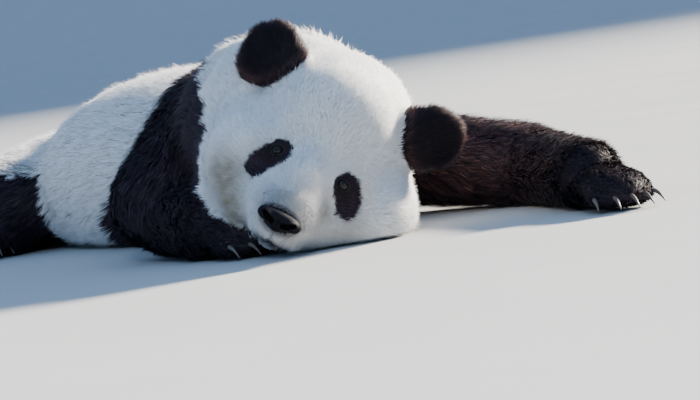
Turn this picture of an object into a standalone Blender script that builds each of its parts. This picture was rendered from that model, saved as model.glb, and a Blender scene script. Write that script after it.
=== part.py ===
"""Giant panda lying on its belly, its head turned to its right and laid on the left cheek.

Metres, +Z up, the floor at z = 0. The trunk lies along Y with the tail at +Y, and the
animal's right side is at -X. The solids are the animal's outline out to the tips of the coat.
The flesh is modelled whole from rounded masses and limbs, melted together, set flat on the
floor, and then parted with thin cuts where a person would name its parts.
"""

import math

import bmesh
import bpy
import numpy as np
from mathutils import Euler, Matrix, Vector
from mathutils.bvhtree import BVHTree

# ---- Driving dimensions ---------------------------------------------------------------------
GAP = 0.0004  # between neighbouring solids
VOXEL = 0.007  # grain at which the masses are melted together
MELT_STEPS = 26  # smoothing passes that fillet the joints of the masses
BODY_FACES, LOWER_ARM_FACES, NOSE_FACES = 3150, 280, 220  # triangles before the parting
SPARING = 1e-4  # how strongly the head and paws are spared by the thinning

HEAD_CENTRE = Vector((-0.19, -0.25, 0.112))
HEAD_TURN = Euler((math.radians(-2.3), math.radians(35.8), math.radians(-39.8)))
PRESSED_CHEEK = 0.014  # how far the cheek that bears the head spreads
CHEST_LEAN = math.radians(-9)  # the chest leans to the animal's left, its right shoulder high
EYE_SPACING, EYE_HEIGHT, EYE_RADIUS, EYE_SHOWS = 0.108, 0.008, 0.0112, 0.0035
EAR_PLACE = Vector((0.1355, -0.008, 0.126))
EAR_RADII = Vector((0.053, 0.024, 0.053))
NOSE_PLACE = Vector((0, -0.196, -0.066))
TAIL_LENGTH = 0.13

# Joints of the limbs, for the animal's right side (-X) or left side (+X) as named.
RIGHT_ARM = {"shoulder": (-0.165, 0.045, 0.185), "elbow": (-0.318, -0.005, 0.088),
             "wrist": (-0.325, -0.140, 0.052), "tip": (-0.305, -0.245, 0.030)}
LEFT_ARM = {"shoulder": (0.125, 0.020, 0.098), "elbow": (0.200, -0.285, 0.058),
            "wrist": (0.122, -0.500, 0.050), "tip": (0.082, -0.630, 0.030)}
RIGHT_LEG = {"hip": (-0.125, 0.75, 0.088), "knee": (-0.255, 0.600, 0.084),
             "ankle": (-0.262, 0.785, 0.048), "tip": (-0.325, 0.585, 0.030)}
RIGHT_ARM_RADII = {"shoulder": 0.108, "elbow": 0.084, "wrist": 0.060}
LEFT_ARM_RADII = {"shoulder": 0.088, "elbow": 0.073, "wrist": 0.059}
LEG_RADII = {"hip": 0.102, "knee": 0.086, "ankle": 0.058}
PAW_HALF_WIDTH, PAW_HALF_HEIGHT = 0.058, 0.034
FOOT_HALF_WIDTH, FOOT_HALF_HEIGHT = 0.054, 0.034
TOE_RADIUS, TOE_COUNT = 0.0195, 5
CLAW_LENGTH, CLAW_RADIUS = 0.028, 0.0050

BACK_TO_FRONT = Matrix.Rotation(math.radians(90), 4, "X")  # turns +Z to -Y

COLOURS = {
    "white_fur": (0.86, 0.84, 0.80, 1), "black_fur": (0.022, 0.019, 0.021, 1),
    "nose_skin": (0.018, 0.017, 0.018, 1), "eye": (0.020, 0.012, 0.008, 1),
    "claw": (0.16, 0.14, 0.12, 1),
}
ROUGHNESS = {"white_fur": 0.9, "black_fur": 0.9, "nose_skin": 0.45, "eye": 0.06, "claw": 0.4}


# ---- Small tools ----------------------------------------------------------------------------
def clear_scene():
    for old in list(bpy.data.objects):
        bpy.data.objects.remove(old)


def collection_named(name, hidden=False):
    made = bpy.data.collections.new(name)
    made.hide_render = hidden
    bpy.context.scene.collection.children.link(made)
    return made


def material_named(slot):
    made = bpy.data.materials.get(slot)
    if made is None:
        made = bpy.data.materials.new(slot)
        made.use_nodes = True
        shader = made.node_tree.nodes["Principled BSDF"]
        shader.inputs["Base Color"].default_value = COLOURS[slot]
        shader.inputs["Roughness"].default_value = ROUGHNESS[slot]
        shader.inputs["Metallic"].default_value = 0.0
    return made


def add_object(name, mesh, slot=None):
    made = bpy.data.objects.new(name, mesh)
    (PANDA if slot else HELPERS).objects.link(made)
    if slot:
        mesh.materials.clear()
        mesh.materials.append(material_named(slot))
    else:
        made.hide_render = True
        made.display_type = "WIRE"
    return made


def mesh_from(bm, name):
    mesh = bpy.data.meshes.new(name)
    bm.to_mesh(mesh)
    bm.free()
    return mesh


def frozen(obj):
    """The object's mesh with its modifiers applied, as a new mesh."""
    bpy.context.view_layer.update()
    graph = bpy.context.evaluated_depsgraph_get()
    return bpy.data.meshes.new_from_object(obj.evaluated_get(graph))


def apply_modifiers(obj):
    mesh = frozen(obj)
    obj.modifiers.clear()
    obj.data = mesh
    return obj


def boolean(obj, cutter, operation):
    step = obj.modifiers.new(operation.lower(), "BOOLEAN")
    step.operation = operation
    step.object = cutter
    return apply_modifiers(obj)


# ---- Rounded masses and limbs ---------------------------------------------------------------
def ball(centre, radii, place=Matrix.Identity(4), turn=Euler((0, 0, 0)), rings=14):
    """An ellipsoid as a mesh, its centre and turn given in the frame that place carries."""
    bm = bmesh.new()
    bmesh.ops.create_uvsphere(bm, u_segments=2 * rings, v_segments=rings, radius=1)
    shape = Matrix.LocRotScale(Vector(centre), turn, Vector(radii))
    bmesh.ops.transform(bm, matrix=place @ shape, verts=bm.verts)
    return mesh_from(bm, "ball")


def limb(joints, radii):
    """Tapered lengths with a ball at each joint."""
    curve = bpy.data.curves.new("limb", "CURVE")
    curve.dimensions = "3D"
    curve.bevel_depth = 1.0
    curve.bevel_resolution = 6
    curve.use_fill_caps = True
    spline = curve.splines.new("POLY")
    spline.points.add(len(joints) - 1)
    for point, joint, radius in zip(spline.points, joints, radii, strict=True):
        point.co = (*joint, 1)
        point.radius = radius
    rod = bpy.data.objects.new("limb", curve)
    HELPERS.objects.link(rod)
    mesh = frozen(rod)
    bpy.data.objects.remove(rod)
    return [mesh] + [ball(j, (r, r, r)) for j, r in zip(joints, radii, strict=True)]


def along(start, end):
    """A frame at start whose Y axis points back from end, so that -Y leads to end."""
    way = (Vector(end) - Vector(start)).normalized()
    side = Vector((0, 0, 1)).cross(-way).normalized() * -1
    up = side.cross(-way).normalized()
    turn = Matrix((side, -way, up)).transposed()
    return Matrix.LocRotScale(Vector(start), turn, None)


def toe_places(wrist, tip, half_width):
    """Each toe's centre and the way it points, in a shallow fan across the front of a paw."""
    paw = along(wrist, tip)
    flat_turn = paw.to_3x3()
    forward = (flat_turn @ Vector((0, -1, 0)) * Vector((1, 1, 0))).normalized()
    side = Vector((-forward.y, forward.x, 0))
    middle = (TOE_COUNT - 1) / 2
    places = []
    for i in range(TOE_COUNT):
        across = (i - middle) / middle
        centre = Vector(tip) + side * across * (half_width - TOE_RADIUS * 0.75)
        centre -= forward * 0.024 * across**2
        centre.z = TOE_RADIUS * 0.95
        places.append((centre, (forward + side * 0.22 * across).normalized()))
    return places


def paw(wrist, tip, half_width, half_height):
    """The masses of one paw: its back, its heel and its toes."""
    wrist, tip = Vector(wrist), Vector(tip)
    length = (tip - wrist).length
    middle = wrist.lerp(tip, 0.55)
    middle.z = half_height * 1.02
    frame = along(wrist, (tip.x, tip.y, wrist.z))
    turn = frame.to_euler()
    masses = [ball(middle, (half_width, length * 0.60, half_height), turn=turn)]
    for centre, _ in toe_places(wrist, tip, half_width):
        masses.append(ball(centre, (TOE_RADIUS, TOE_RADIUS * 1.35, TOE_RADIUS), turn=turn))
    return masses


def mirrored(point):
    return (-point[0], point[1], point[2])


def trunk_masses():
    lean = Euler((0, -CHEST_LEAN, 0))
    return [
        ball((-0.025, 0.09, 0.115), (0.215, 0.23, 0.173), turn=lean),
        ball((-0.045, 0.04, 0.190), (0.130, 0.16, 0.100), turn=lean),
        ball((0.005, 0.37, 0.102), (0.268, 0.37, 0.188)),
        ball((0, 0.67, 0.090), (0.248, 0.27, 0.122)),
        ball((0, 0.835, 0.088), (0.175, 0.150, 0.098)),
    ]


def tail_masses():
    root = Vector((0, 0.935, 0.115))
    return limb([root, root + Vector((0, TAIL_LENGTH * 0.75, -0.065))], [0.044, 0.034])


def neck_masses():
    nape = HEAD_CENTRE + Vector((0.055, 0.085, 0.035))
    mane = ball(HEAD_CENTRE + Vector((0.045, 0.132, 0.048)), (0.176, 0.176, 0.176))
    return limb([Vector((-0.05, 0.03, 0.150)), nape], [0.140, 0.126]) + [mane]


def head_frame():
    return Matrix.LocRotScale(HEAD_CENTRE, HEAD_TURN, None)


def head_masses():
    """The head in its own frame, facing -Y, with the animal's left at +X."""
    place = head_frame()
    masses = [
        ball((0, 0.045, 0.055), (0.137, 0.148, 0.137), place),
        ball((0, -0.030, 0.070), (0.104, 0.090, 0.100), place),
        ball((0, -0.118, -0.062), (0.060, 0.084, 0.050), place),
        ball((0, -0.095, -0.018), (0.046, 0.080, 0.042), place, Euler((math.radians(-24), 0, 0))),
        ball((0, -0.128, -0.096), (0.044, 0.058, 0.030), place),
    ]
    for side, bulge in ((-1, 0), (1, PRESSED_CHEEK)):
        masses += [
            ball((side * (0.088 + bulge), 0.005, -0.028), (0.084, 0.108, 0.094), place),
            ball((side * 0.060, -0.040, -0.070), (0.062, 0.080, 0.055), place),
            ball((side * 0.062, -0.078, 0.020), (0.036, 0.036, 0.036), place),
        ]
    return masses


def leg_of(joints, radii, root, bend, end):
    """One limb's masses without its paw: root to bend to end."""
    points = [Vector(joints[j]) for j in (root, bend, end)]
    upper = limb(points[:2], [radii[root], radii[bend]])
    return upper + limb(points[1:], [radii[bend] * 0.92, radii[end]])


def triangle_count(obj):
    return sum(len(face.vertices) - 2 for face in obj.data.polygons)


def melt(masses, name, faces, sparing=0.0):
    """One closed surface round all the masses, with soft joints."""
    bm = bmesh.new()
    for mass in masses:
        bm.from_mesh(mass)
    body = add_object(name, mesh_from(bm, name))
    remesh = body.modifiers.new("melt", "REMESH")
    remesh.mode = "VOXEL"
    remesh.voxel_size = VOXEL
    apply_modifiers(body)
    soft = body.vertex_groups.new(name="soft")
    fine = body.vertex_groups.new(name="fine")
    places = np.array([v.co for v in body.data.vertices])
    detail = detail_at(places)
    for i, amount in enumerate(detail):
        soft.add([i], 1 - 0.62 * amount, "REPLACE")
        fine.add([i], 1 - amount, "REPLACE")
    smooth = body.modifiers.new("soften", "SMOOTH")
    smooth.factor, smooth.iterations, smooth.vertex_group = 0.5, MELT_STEPS, "soft"
    thin = body.modifiers.new("thin", "DECIMATE")
    thin.ratio = faces / triangle_count(body)
    thin.vertex_group, thin.vertex_group_factor = "fine", sparing
    apply_modifiers(body)
    set_on_floor(body)
    return body


def detail_at(places):
    """1 at the face and the paws, falling to 0 on the plain body."""
    face = np.array(head_frame() @ Vector((0, -0.10, -0.03)))
    spots = [(face, 0.13, 1.0)]
    for joints in (RIGHT_ARM, LEFT_ARM, RIGHT_LEG):
        spots.append((np.array(joints["tip"]), 0.085, 0.6))
    spots.append((np.array(mirrored(RIGHT_LEG["tip"])), 0.085, 0.6))
    found = np.zeros(len(places))
    for centre, reach, most in spots:
        distance = np.linalg.norm(places - centre, axis=1)
        found = np.maximum(found, most * np.clip(1.5 - distance / reach, 0, 1))
    return found


def set_on_floor(body):
    """Cuts the body flat at the floor."""
    bm = bmesh.new()
    bm.from_mesh(body.data)
    everything = list(bm.verts) + list(bm.edges) + list(bm.faces)
    cut = bmesh.ops.bisect_plane(
        bm, geom=everything, plane_co=(0, 0, 0), plane_no=(0, 0, 1), clear_inner=True, dist=1e-5)
    rim = [e for e in cut["geom_cut"] if isinstance(e, bmesh.types.BMEdge)]
    bmesh.ops.holes_fill(bm, edges=rim, sides=0)
    bmesh.ops.triangulate(bm, faces=[f for f in bm.faces if len(f.verts) > 4])
    bmesh.ops.recalc_face_normals(bm, faces=bm.faces)
    bm.to_mesh(body.data)
    bm.free()


# ---- Parting the body -----------------------------------------------------------------------
def sleeve(start, end, radius, grow):
    """A fat cylinder from start to end, the region that holds one length of a limb."""
    start, end = Vector(start), Vector(end)
    way = (end - start).normalized()
    start, end = start - way * grow, end + way * grow
    bm = bmesh.new()
    bmesh.ops.create_cone(
        bm, cap_ends=True, segments=20, radius1=radius + grow, radius2=radius + grow,
        depth=(end - start).length)
    turn = way.to_track_quat("Z", "Y").to_matrix().to_4x4()
    bmesh.ops.transform(bm, matrix=Matrix.Translation((start + end) / 2) @ turn, verts=bm.verts)
    return add_object("sleeve", mesh_from(bm, "sleeve"))


def block(corners_below, corners_above, grow, place=Matrix.Identity(4)):
    """A box with slanting sides: its (x, y, z) corners below and above, low and high in each."""
    bm = bmesh.new()
    rings = []
    for (low, high), down in ((corners_below, 1), (corners_above, -1)):
        low = Vector(low) - Vector((grow, grow, grow * down))
        high = Vector(high) + Vector((grow, grow, -grow * down))
        rings.append([bm.verts.new((x, y, low.z)) for x, y in (
            (low.x, low.y), (high.x, low.y), (high.x, high.y), (low.x, high.y))])
    bm.faces.new(reversed(rings[0]))
    bm.faces.new(rings[1])
    for i in range(4):
        j = (i + 1) % 4
        bm.faces.new((rings[0][i], rings[0][j], rings[1][j], rings[1][i]))
    bmesh.ops.transform(bm, matrix=place, verts=bm.verts)
    bmesh.ops.recalc_face_normals(bm, faces=bm.faces)
    return add_object("block", mesh_from(bm, "block"))


def beyond(start, toward, share):
    """The point past start, that share of the way away from toward."""
    return Vector(start) + (Vector(start) - Vector(toward)) * share


def lower_arm_regions(side, arm):
    """The regions of a forepaw and a forearm."""
    paw_end = beyond(arm["tip"], arm["wrist"], 0.6)
    behind = Vector(arm["elbow"]).lerp(Vector(arm["shoulder"]), 0.12)
    return [
        (f"forepaw_{side}", "black_fur", sleeve, (arm["wrist"], paw_end, 0.095)),
        (f"forearm_{side}", "black_fur", sleeve,
         (behind, beyond(arm["wrist"], arm["elbow"], 0.2), 0.118)),
    ]


def hind_leg_regions(side, flip):
    """The regions of a hind foot, a shank and a thigh."""
    leg = {k: Vector(flip(v)) for k, v in RIGHT_LEG.items()}
    heel, toes = beyond(leg["ankle"], leg["tip"], 0.3), beyond(leg["tip"], leg["ankle"], 0.4)
    heel.z = toes.z = 0.0
    sunk = Vector((0, 0, -0.025))
    upper, lower = leg["hip"] + sunk, beyond(leg["knee"], leg["hip"], 0.12) + sunk
    aside = Vector((math.copysign(0.02, leg["knee"].x), 0, -0.01))
    back, front = leg["ankle"] + Vector((0, 0.13, 0)), leg["knee"] + Vector((0, -0.10, 0)) + aside
    return [
        (f"hind_foot_{side}", "black_fur", sleeve, (heel, toes, 0.066)),
        (f"shank_{side}", "black_fur", sleeve, (back, front, 0.106)),
        (f"thigh_{side}", "black_fur", sleeve, (upper, lower, 0.124)),
    ]


def body_regions():
    """(part, slot, function, arguments) of each region of the body, outermost parts first."""
    upper_arms = []
    for side, arm, radius in (("right", RIGHT_ARM, 0.122), ("left", LEFT_ARM, 0.130)):
        out = beyond(arm["elbow"], arm["shoulder"], 0.75)
        where = (arm["shoulder"], out, radius)
        upper_arms.append((f"upper_arm_{side}", "black_fur", sleeve, where))
    found = lower_arm_regions("left", LEFT_ARM) + upper_arms[:1]
    found.append(("head", "white_fur", block, (
        ((-0.21, -0.24, -0.085), (0.19, 0.26, -0.085)),
        ((-0.22, -0.24, 0.25), (0.24, 0.26, 0.25)))))
    found += upper_arms[1:]
    found.append(("shoulders", "black_fur", block, (
        ((-0.5, -0.11, -0.1), (0.5, 0.125, -0.1)), ((-0.5, -0.02, 0.4), (0.5, 0.070, 0.4)))))
    found.append(("neck", "white_fur", block, (
        ((-0.5, -0.6, -0.1), (0.5, 0.0, -0.1)), ((-0.5, -0.6, 0.4), (0.5, 0.02, 0.4)))))
    found.append(("tail", "white_fur", block, (
        ((-0.1, 0.945, -0.1), (0.1, 1.3, -0.1)), ((-0.1, 0.945, 0.3), (0.1, 1.3, 0.3)))))
    return found + hind_leg_regions("right", tuple) + hind_leg_regions("left", mirrored)


def part_off(body, regions):
    """Cuts each region's part from the body, and leaves what no region takes."""
    for name, slot, shape, where in regions:
        place = {"place": head_frame() @ BACK_TO_FRONT} if name == "head" else {}
        keep = shape(*where, grow=0.0, **place)
        piece = add_object(name, body.data.copy(), slot)
        boolean(piece, keep, "INTERSECT")
        clear = shape(*where, grow=GAP, **place)
        boolean(body, clear, "DIFFERENCE")
        for helper in (keep, clear):
            bpy.data.objects.remove(helper)


# ---- Eyes, ears, nose and claws -------------------------------------------------------------
def grown(obj, by):
    """A helper copy whose surface is moved out along its normals."""
    copy = add_object("grown", obj.data.copy())
    push = copy.modifiers.new("push", "DISPLACE")
    push.mid_level, push.strength = 0.0, by
    return apply_modifiers(copy)


def make_room(host, guest):
    """Cuts the guest's shape out of the host, with the gap between them."""
    cutter = grown(guest, GAP)
    boolean(host, cutter, "DIFFERENCE")
    bpy.data.objects.remove(cutter)


def surface_at(obj, start, way):
    tree = BVHTree.FromObject(obj, bpy.context.evaluated_depsgraph_get())
    return tree.ray_cast(Vector(start), Vector(way).normalized())[0]


def add_eyes(head):
    """Eyeballs set in the face, so that only their fronts show."""
    place = head_frame()
    into = place.to_3x3() @ Vector((0, 1, 0))
    for side, sign in (("right", -1), ("left", 1)):
        start = place @ Vector((sign * EYE_SPACING / 2, -0.5, EYE_HEIGHT))
        front = surface_at(head, start, into)
        outward = (place.to_3x3() @ Vector((sign * 0.35, -1, 0.05))).normalized()
        centre = front - outward * (EYE_RADIUS - EYE_SHOWS)
        eye = add_object(f"eye_{side}", ball(centre, (EYE_RADIUS,) * 3, rings=7), "eye")
        make_room(head, eye)


def add_nose(head):
    """The bare nose pad: a broad top, narrow below, with two nostrils."""
    place = head_frame() @ Matrix.Translation(NOSE_PLACE)
    bm = bmesh.new()
    for mesh in (
        ball((0, 0.0, -0.003), (0.033, 0.016, 0.011), place),
        ball((-0.0165, -0.001, -0.006), (0.0175, 0.0165, 0.0115), place),
        ball((0.0165, -0.001, -0.006), (0.0175, 0.0165, 0.0115), place),
        ball((0, 0.001, -0.014), (0.0105, 0.013, 0.0145), place),
    ):
        bm.from_mesh(mesh)
    nose = add_object("nose", mesh_from(bm, "nose"), "nose_skin")
    remesh = nose.modifiers.new("melt", "REMESH")
    remesh.mode, remesh.voxel_size = "VOXEL", 0.0024
    smooth = nose.modifiers.new("soften", "SMOOTH")
    smooth.factor, smooth.iterations = 0.5, 6
    apply_modifiers(nose)
    thin = nose.modifiers.new("thin", "DECIMATE")
    thin.ratio = NOSE_FACES / triangle_count(nose)
    apply_modifiers(nose)
    make_room(head, nose)
    for sign in (-1, 1):
        turn = Euler((0, math.radians(sign * 24), math.radians(sign * -30)))
        hole = add_object("nostril", ball((sign * 0.0175, -0.017, -0.008), (0.0075, 0.009, 0.0036),
                                          place, turn, rings=5))
        boolean(nose, hole, "DIFFERENCE")
        bpy.data.objects.remove(hole)
    return nose


def add_ears(head, neck):
    """Round ears, dished in front, standing on the corners of the crown."""
    place = head_frame()
    for side, sign in (("right", -1), ("left", 1)):
        centre = Vector((EAR_PLACE.x * sign, EAR_PLACE.y, EAR_PLACE.z))
        turn = Euler((math.radians(-8), math.radians(sign * 20), math.radians(sign * 24)))
        ear = add_object(f"ear_{side}", ball(centre, EAR_RADII, place, turn, rings=9), "black_fur")
        facing = turn.to_matrix() @ Vector((0, -1, 0))
        dish = ball(centre + facing * 0.032, Vector((0.036, 0.019, 0.036)), place, turn, rings=6)
        hollow = add_object("dish", dish)
        boolean(ear, hollow, "DIFFERENCE")
        bpy.data.objects.remove(hollow)
        for host in (head, neck):
            room = grown(host, GAP)
            boolean(ear, room, "DIFFERENCE")
            bpy.data.objects.remove(room)


def claw_mesh(centre, way):
    """A curved, tapered claw that starts in the toe and bends down to the floor."""
    curve = bpy.data.curves.new("claw", "CURVE")
    curve.dimensions = "3D"
    curve.bevel_depth, curve.bevel_resolution, curve.use_fill_caps = 1.0, 0, True
    spline = curve.splines.new("POLY")
    steps = 3
    spline.points.add(steps)
    root = centre + way * TOE_RADIUS * 0.75 + Vector((0, 0, 0.004))
    for i in range(steps + 1):
        share = i / steps
        point = root + way * CLAW_LENGTH * share
        point.z -= 0.017 * share**2
        spline.points[i].co = (*point, 1)
        spline.points[i].radius = CLAW_RADIUS * (1 - 0.80 * share**1.5)
    rod = bpy.data.objects.new("claw", curve)
    HELPERS.objects.link(rod)
    bm = bmesh.new()
    bm.from_mesh(frozen(rod))
    bpy.data.objects.remove(rod)
    bmesh.ops.remove_doubles(bm, verts=bm.verts, dist=1e-5)
    bmesh.ops.recalc_face_normals(bm, faces=bm.faces)
    return mesh_from(bm, "claw")


def add_claws():
    left_leg = {k: mirrored(v) for k, v in RIGHT_LEG.items()}
    paws = (
        ("forepaw_right", RIGHT_ARM["wrist"], RIGHT_ARM["tip"], PAW_HALF_WIDTH),
        ("forepaw_left", LEFT_ARM["wrist"], LEFT_ARM["tip"], PAW_HALF_WIDTH),
        ("hind_foot_right", RIGHT_LEG["ankle"], RIGHT_LEG["tip"], FOOT_HALF_WIDTH),
        ("hind_foot_left", left_leg["ankle"], left_leg["tip"], FOOT_HALF_WIDTH),
    )
    for paw_name, wrist, tip, half_width in paws:
        host = bpy.data.objects[paw_name]
        for number, (centre, way) in enumerate(toe_places(wrist, tip, half_width), 1):
            claw = add_object(f"claw_{paw_name}_{number}", claw_mesh(centre, way), "claw")
            make_room(host, claw)
            if paw_name == "forepaw_right" and number >= 4:
                make_room(bpy.data.objects["head"], claw)


# ---- The whole animal -----------------------------------------------------------------------
def set_origin():
    """Moves the model so that its origin is at the bottom centre of its box."""
    bpy.context.view_layer.update()
    points = [v.co for obj in PANDA.objects for v in obj.data.vertices]
    low = Vector(min(p[i] for p in points) for i in range(3))
    high = Vector(max(p[i] for p in points) for i in range(3))
    shift = Vector((-(low.x + high.x) / 2, -(low.y + high.y) / 2, 0))
    for obj in PANDA.objects:
        obj.data.transform(Matrix.Translation(shift))
    return shift


def main():
    masses = trunk_masses() + tail_masses() + neck_masses() + head_masses()
    masses += limb([RIGHT_ARM["shoulder"], RIGHT_ARM["elbow"]],
                   [RIGHT_ARM_RADII["shoulder"], RIGHT_ARM_RADII["elbow"]])
    masses += leg_of(LEFT_ARM, LEFT_ARM_RADII, "shoulder", "elbow", "wrist")
    masses += paw(LEFT_ARM["wrist"], LEFT_ARM["tip"], PAW_HALF_WIDTH, PAW_HALF_HEIGHT)
    for flip in (tuple, mirrored):
        leg = {k: flip(v) for k, v in RIGHT_LEG.items()}
        masses += leg_of(leg, LEG_RADII, "hip", "knee", "ankle")
        masses += paw(leg["ankle"], leg["tip"], FOOT_HALF_WIDTH, FOOT_HALF_HEIGHT)
    body = melt(masses, "body", BODY_FACES, SPARING)

    below_elbow = Vector(RIGHT_ARM["elbow"]).lerp(Vector(RIGHT_ARM["wrist"]), 0.2)
    below_elbow.z = 0.064
    tucked = limb([below_elbow, RIGHT_ARM["wrist"]], [0.066, RIGHT_ARM_RADII["wrist"]])
    tucked += paw(RIGHT_ARM["wrist"], RIGHT_ARM["tip"], PAW_HALF_WIDTH, PAW_HALF_HEIGHT)
    lower_arm = melt(tucked, "lower_arm", LOWER_ARM_FACES)
    make_room(lower_arm, body)
    part_off(lower_arm, lower_arm_regions("right", RIGHT_ARM))
    bpy.data.objects.remove(lower_arm)

    part_off(body, body_regions())
    add_object("trunk", body.data.copy(), "white_fur")
    bpy.data.objects.remove(body)
    head = bpy.data.objects["head"]
    add_nose(head)
    add_eyes(head)
    add_ears(head, bpy.data.objects["neck"])
    add_claws()
    set_origin()


clear_scene()
PANDA = collection_named("giant_panda")
HELPERS = collection_named("helpers", hidden=True)
main()
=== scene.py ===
"""Giant panda lying on its belly: skin, eyes, nose, claws, coat, light and camera.

Metres, +Z up, the floor at z = 0. One skin replaces the solids of flesh and lies inside them
by the coat's depth. The coat is tapered blades of mesh, laid along the body in tufts.
Head places are given in the head's own frame: -Y to the nose, +X to the animal's left, +Z up.
"""

import math

import bmesh
import bpy
import numpy as np
from mathutils import Euler, Matrix, Vector
from mathutils.bvhtree import BVHTree
from mathutils.kdtree import KDTree


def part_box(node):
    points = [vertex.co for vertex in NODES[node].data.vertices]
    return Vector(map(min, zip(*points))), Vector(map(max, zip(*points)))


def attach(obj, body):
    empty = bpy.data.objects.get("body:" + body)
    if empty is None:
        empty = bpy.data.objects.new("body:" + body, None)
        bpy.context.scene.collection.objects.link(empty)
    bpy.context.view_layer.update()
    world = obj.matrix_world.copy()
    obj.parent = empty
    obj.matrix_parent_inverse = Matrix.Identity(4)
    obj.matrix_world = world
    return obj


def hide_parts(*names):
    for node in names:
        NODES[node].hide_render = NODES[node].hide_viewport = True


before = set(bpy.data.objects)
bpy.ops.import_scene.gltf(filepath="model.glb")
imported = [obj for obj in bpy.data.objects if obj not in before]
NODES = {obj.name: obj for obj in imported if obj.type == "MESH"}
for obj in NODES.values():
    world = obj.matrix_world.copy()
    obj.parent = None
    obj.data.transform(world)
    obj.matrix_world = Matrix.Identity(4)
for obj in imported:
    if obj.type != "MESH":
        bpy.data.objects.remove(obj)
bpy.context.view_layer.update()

RANDOM = np.random.default_rng(11)

# ---- The head's frame
HEAD_TURN = Euler((math.radians(-2.3), math.radians(35.8), math.radians(-39.8)))
EYES_MIDDLE = Vector((0, -0.1030, 0.0076))  # halfway between the eyeballs' centres
EYE_RADIUS = 0.0112


def middle(node):
    low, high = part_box(node)
    return (low + high) / 2


HEAD_PLACE = (middle("eye_left") + middle("eye_right")) / 2 - HEAD_TURN.to_matrix() @ EYES_MIDDLE
HEAD = Matrix.LocRotScale(HEAD_PLACE, HEAD_TURN, None)
HEAD_AXES = np.array(HEAD_TURN.to_matrix())
EYE_PLACE = HEAD.inverted() @ middle("eye_left")  # the left eyeball's centre, in the head's frame


def in_head(places):
    """Row-frame points, an (n, 3) array, in the head's frame."""
    return (places - np.array(HEAD_PLACE)) @ HEAD_AXES


def from_head(places):
    return places @ HEAD_AXES.T + np.array(HEAD_PLACE)


# ---- Camera
VIEW_AZIMUTH, VIEW_ELEVATION, VIEW_ROLL = map(math.radians, (-35, 4, 8))
VIEW_DISTANCE, LENS, SENSOR = 3.817, 131.9, 36.0
HEAD_RIGHT, HEAD_UP = -0.0531, 0.0434  # the head's place from the picture's middle, in widths


def add_camera():
    back = Vector((math.sin(VIEW_AZIMUTH) * math.cos(VIEW_ELEVATION),
                   -math.cos(VIEW_AZIMUTH) * math.cos(VIEW_ELEVATION),
                   math.sin(VIEW_ELEVATION)))
    level = (-back).cross(Vector((0, 0, 1))).normalized()
    above = level.cross(-back)
    right = level * math.cos(VIEW_ROLL) - above * math.sin(VIEW_ROLL)
    up = level * math.sin(VIEW_ROLL) + above * math.cos(VIEW_ROLL)
    width = VIEW_DISTANCE * SENSOR / LENS
    place = HEAD_PLACE + back * VIEW_DISTANCE - right * HEAD_RIGHT * width - up * HEAD_UP * width
    data = bpy.data.cameras.new("camera")
    data.lens, data.sensor_width, data.clip_end = LENS, SENSOR, 100
    camera = bpy.data.objects.new("camera", data)
    camera.matrix_world = Matrix.LocRotScale(
        place, Matrix((right, up, back)).transposed(), None)
    bpy.context.scene.collection.objects.link(camera)
    bpy.context.scene.camera = camera


# ---- Small tools
def link(name, mesh, material=None):
    made = bpy.data.objects.new(name, mesh)
    bpy.context.scene.collection.objects.link(made)
    if material is not None:
        mesh.materials.clear()
        mesh.materials.append(material)
    return made


def mesh_of(bm, name):
    """The bmesh as a mesh of its own, and the bmesh freed."""
    mesh = bpy.data.meshes.new(name)
    bm.to_mesh(mesh)
    bm.free()
    return mesh


def modified(mesh, kind_of_step, **settings):
    """A new mesh: this one with one modifier applied."""
    obj = link("passing", mesh)
    step = obj.modifiers.new("step", kind_of_step)
    for name, value in settings.items():
        setattr(step, name, value)
    bpy.context.view_layer.update()
    made = bpy.data.meshes.new_from_object(
        obj.evaluated_get(bpy.context.evaluated_depsgraph_get()))
    bpy.data.objects.remove(obj)
    return made


def read(items, key, width=1, form=float):
    """One property of all vertices, faces or loops, a row to each."""
    found = np.empty(len(items) * width, form)
    items.foreach_get(key, found)
    return found.reshape(-1, width) if width > 1 else found


def points_of(mesh):
    return read(mesh.vertices, "co", 3)


def write(items, key, values):
    items.foreach_set(key, np.ascontiguousarray(values, np.float32).ravel())


def set_points(mesh, places):
    write(mesh.vertices, "co", places)
    mesh.update()


def normals_of(mesh):
    return read(mesh.vertex_normals, "vector", 3)


def edges_of(mesh):
    return read(mesh.edges, "vertices", 2, np.int32)


def smooth(mesh):
    mesh.polygons.foreach_set("use_smooth", np.ones(len(mesh.polygons), bool))


def mix(first, second, share):
    """first where the share is 0 and second where it is 1."""
    return first * (1 - share) + second * share


def bell(distance, reach):
    """1 at no distance, falling off smoothly past the reach."""
    return np.exp(-(distance / reach) ** 2)


def mirrored(local):
    """The points with both halves of the head laid on the animal's left."""
    return np.stack((np.abs(local[:, 0]), local[:, 1], local[:, 2]), axis=1)


def sizes(vectors):
    """Each row's length."""
    return np.linalg.norm(vectors, axis=1)


def unit(vectors):
    return vectors / np.maximum(np.linalg.norm(vectors, axis=1, keepdims=True), 1e-9)


def blend(values, low, high):
    """0 below low, 1 above high and a smooth rise between."""
    t = np.clip((values - low) / (high - low), 0, 1)
    return t * t * (3 - 2 * t)


def fade(values, low, high):
    """1 below low and 0 above high."""
    return 1 - blend(values, low, high)


def spread(field, edges, steps, amount=0.5):
    """Averages a field over neighbouring points. amount may differ from point to point."""
    count = len(field)
    a, b = edges.T
    share = np.maximum(np.bincount(np.r_[a, b], minlength=count), 1)[:, None]
    amount = np.broadcast_to(np.asarray(amount, float).reshape(-1, 1), (count, 1))
    for _ in range(steps):
        total = np.empty_like(field)
        for k in range(field.shape[1]):
            total[:, k] = np.bincount(a, field[b, k], count) + np.bincount(b, field[a, k], count)
        field = mix(field, total / share, amount)
    return field


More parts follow.
